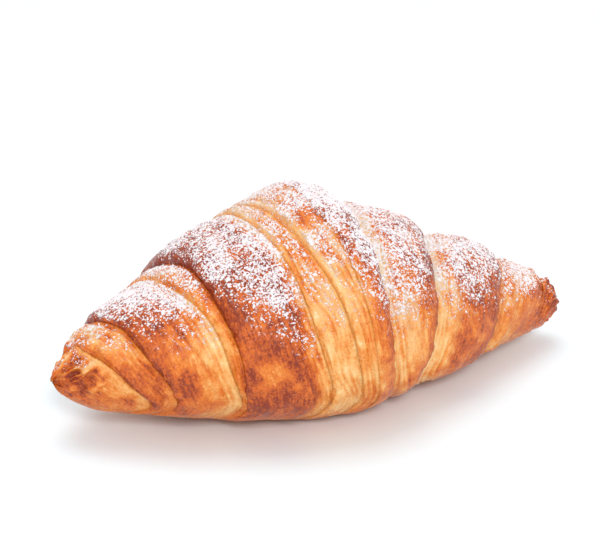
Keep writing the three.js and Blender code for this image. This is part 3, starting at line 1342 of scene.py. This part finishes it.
@dataclass
class SugarGrains:
    """The clumps of sugar that stand clear of the skin: small uneven lumps, seeded."""

    crust: bpy.types.Object
    count: int = 29000
    smallest: float = 0.16
    largest: float = 0.5
    size_power: float = 1.4
    least_dusting: float = 0.04
    chance_power: float = 1.2
    thin_size: float = 0.6
    thin_dusting: Span = (0.05, 0.5)
    sides: int = 5
    turn_jitter: float = 0.3
    foot_reach: Span = (0.6, 1.35)
    foot_sink: float = 0.12
    peak_height: Span = (0.3, 0.8)
    seed: int = 5

    def build(self) -> bpy.types.Object:
        """Scatters the grains over the dusted skin.

        Returns:
            One object that holds every grain.
        """
        rng = np.random.default_rng(self.seed)
        mesh = self.crust.data
        mesh.calc_loop_triangles()
        places = self.read(mesh.vertices, "co").reshape(-1, 3)
        normals = self.read(mesh.vertices, "normal").reshape(-1, 3)
        dusting = self.read(mesh.attributes["dusting"].data, "value", width=1)
        corners = self.read(mesh.loop_triangles, "vertices", kind=int).reshape(-1, 3)
        first, second, third = (places[corners[:, corner]] for corner in range(3))
        area = np.linalg.norm(np.cross(second - first, third - first), axis=1)
        thick = dusting[corners].mean(axis=1)
        chance = area * np.clip(thick - self.least_dusting, 0.0, 1.0) ** self.chance_power
        picked = rng.choice(len(corners), self.count, p=chance / chance.sum())
        weights = rng.dirichlet((1.0, 1.0, 1.0), self.count)[..., None]
        centres = (places[corners[picked]] * weights).sum(axis=1)
        facing = (normals[corners[picked]] * weights).sum(axis=1)
        spread = rng.random(self.count) ** self.size_power
        size = MM * self.smallest * (self.largest / self.smallest) ** spread
        size *= mix(self.thin_size, 1.0, smooth(thick[picked], *self.thin_dusting))
        return self.lumps(centres, facing, size, rng)

    @staticmethod
    def read(
        items: bpy.types.bpy_prop_collection, name: str, width: int = 3, kind: type = float
    ) -> np.ndarray:
        """Reads one value of every item in a part of a mesh.

        Args:
            items: The part, such as the mesh's vertices.
            name: The value's name.
            width: How many numbers the value has.
            kind: What kind of numbers they are.

        Returns:
            All the numbers in one row.
        """
        values = np.zeros(len(items) * width, dtype=kind)
        items.foreach_get(name, values)
        return values

    def lumps(
        self, centres: np.ndarray, facing: np.ndarray, size: np.ndarray, rng: np.random.Generator
    ) -> bpy.types.Object:
        """Makes one low, uneven lump at each centre, with its foot in the crust.

        Args:
            centres: The lumps' places on the skin, in metres.
            facing: The skin's normals there.
            size: The lumps' radii, in metres.
            rng: The source of the random draws.

        Returns:
            One object that holds every lump.
        """
        count = len(centres)
        facing = facing / np.linalg.norm(facing, axis=1, keepdims=True)
        along = np.cross(facing, rng.normal(size=(count, 3)))
        along /= np.linalg.norm(along, axis=1, keepdims=True)
        across = np.cross(facing, along)
        jitter = rng.uniform(-self.turn_jitter, self.turn_jitter, (count, self.sides))
        turn = (np.arange(self.sides) + jitter) * 2 * HALF_TURN / self.sides
        reach = rng.uniform(*self.foot_reach, (count, self.sides)) * size[:, None]
        foot = along[:, None] * (np.cos(turn) * reach)[..., None]
        foot = foot + across[:, None] * (np.sin(turn) * reach)[..., None]
        foot += (centres - facing * (self.foot_sink * size)[:, None])[:, None]
        peak = centres + facing * (size * rng.uniform(*self.peak_height, count))[:, None]
        points = np.concatenate([peak[:, None], foot], axis=1).reshape(-1, 3)
        faces = np.array([[0, 1 + side, 1 + (side + 1) % self.sides] for side in range(self.sides)])
        starts = (self.sides + 1) * np.arange(count)
        mesh = bpy.data.meshes.new("sugar")
        mesh.from_pydata(points.tolist(), [], (faces[None] + starts[:, None, None]).reshape(-1, 3).tolist())
        mesh.update()
        log.info("sugar: %d grains", count)
        return linked("sugar", mesh)


def direction(azimuth: float, elevation: float) -> Vector:
    """Gives the way to look up at something: azimuth 0 is in front, and both angles are in radians."""
    level = math.cos(elevation)
    return Vector((math.sin(azimuth) * level, -math.cos(azimuth) * level, math.sin(elevation)))


@dataclass(frozen=True)
class Lamp:
    """A square soft light that faces the croissant.

    Its angles are in degrees: azimuth 0 is in front and 90 on the right. Its size is in metres, and a
    strength of 1 makes a white surface that faces it full white.
    """

    name: str
    azimuth: float
    elevation: float
    size: float
    strength: float


@dataclass
class Studio:
    """The pale floor, the soft lights and the camera."""

    lamps: tuple[Lamp, ...] = (Lamp("key", -178, 78, 1.8, 0.37), Lamp("front", -14, 36, 0.6, 0.48))
    target: Vector = field(default_factory=lambda: Vector((0.0005, 0.0, 0.028)))
    azimuth: float = math.radians(-25.61)
    elevation: float = math.radians(24.32)
    distance: float = 0.4869
    lens: float = 100.0
    sensor: float = 36.0
    nearest: float = 0.01
    aim_left: float = 0.00644
    aim_up: float = 0.00568
    light_distance: float = 2.6
    sky: float = 0.69
    floor_half: float = 3.0
    floor_drop: float = 0.0001
    floor_dim: tuple = tint(236, 246, 251)
    floor_bright: tuple = tint(238, 248, 253)

    def build(self) -> None:
        """Makes the floor, the lights and the camera."""
        self.floor()
        for lamp in self.lamps:
            self.light(lamp)
        self.world()
        self.camera()
        scene = bpy.context.scene
        scene.view_settings.view_transform = "Standard"
        scene.view_settings.look = "None"

    def floor(self) -> None:
        """Lays the floor under the foot."""
        ends = ((-1, -1), (1, -1), (1, 1), (-1, 1))
        corners = [(x * self.floor_half, y * self.floor_half, -self.floor_drop) for x, y in ends]
        mesh = bpy.data.meshes.new("floor")
        mesh.from_pydata(corners, [], [(0, 1, 2, 3)])
        floor = linked("floor", mesh)
        bench = NodeBench("floor")
        grain = bench.noise(bench.place(), 30.0, 3.0)
        bench.put("Base Color", bench.ramp(grain, [(0.3, self.floor_dim), (0.7, self.floor_bright)]))
        bench.put("Roughness", 0.8)
        bench.put("Specular IOR Level", 0.1)
        mesh.materials.append(bench.material)

    def light(self, lamp: Lamp) -> None:
        """Hangs a lamp.

        Args:
            lamp: The lamp.
        """
        data = bpy.data.lights.new(lamp.name, "AREA")
        data.size = lamp.size
        data.energy = lamp.strength * (math.pi * self.light_distance) ** 2
        hung = linked(lamp.name, data)
        way = direction(math.radians(lamp.azimuth), math.radians(lamp.elevation))
        hung.location = self.target + way * self.light_distance
        hung.rotation_euler = (-way).to_track_quat("-Z", "Y").to_euler()

    def world(self) -> None:
        """Sets an even white surround."""
        world = bpy.data.worlds.new("surround")
        world.use_nodes = True
        background = world.node_tree.nodes["Background"]
        background.inputs["Color"].default_value = (1.0, 1.0, 1.0, 1.0)
        background.inputs["Strength"].default_value = self.sky
        bpy.context.scene.world = world

    def camera(self) -> None:
        """Sets the camera at the photograph's viewing angle."""
        back = direction(self.azimuth, self.elevation)
        right = Vector((math.cos(self.azimuth), math.sin(self.azimuth), 0.0))
        up = back.cross(right)
        data = bpy.data.cameras.new("camera")
        data.lens = self.lens
        data.sensor_width = self.sensor
        data.clip_start = self.nearest
        camera = linked("camera", data)
        camera.location = self.target + back * self.distance
        aim = self.target - right * self.aim_left + up * self.aim_up
        camera.rotation_euler = (aim - camera.location).to_track_quat("-Z", "Y").to_euler()
        bpy.context.scene.camera = camera


def dress(piece: bpy.types.Object, material: bpy.types.Material) -> None:
    """Gives a piece its material and its body, and hides the solid that it stands for.

    Args:
        piece: The piece.
        material: Its material.
    """
    piece.data.materials.append(material)
    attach(piece, BODY)
    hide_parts(NODE)
    log.info("%s rides on %s", piece.name, BODY)


def main() -> None:
    """Builds the studio, then the crust and the sugar on it."""
    logging.basicConfig(level=logging.INFO, format="%(name)s: %(message)s")
    Studio().build()
    crust = Crust(Roll()).build()
    dress(crust, CrustFinish().material())
    sugar = SugarGrains(crust).build()
    dress(sugar, SugarFinish().material())


if __name__ == "__main__":
    main()
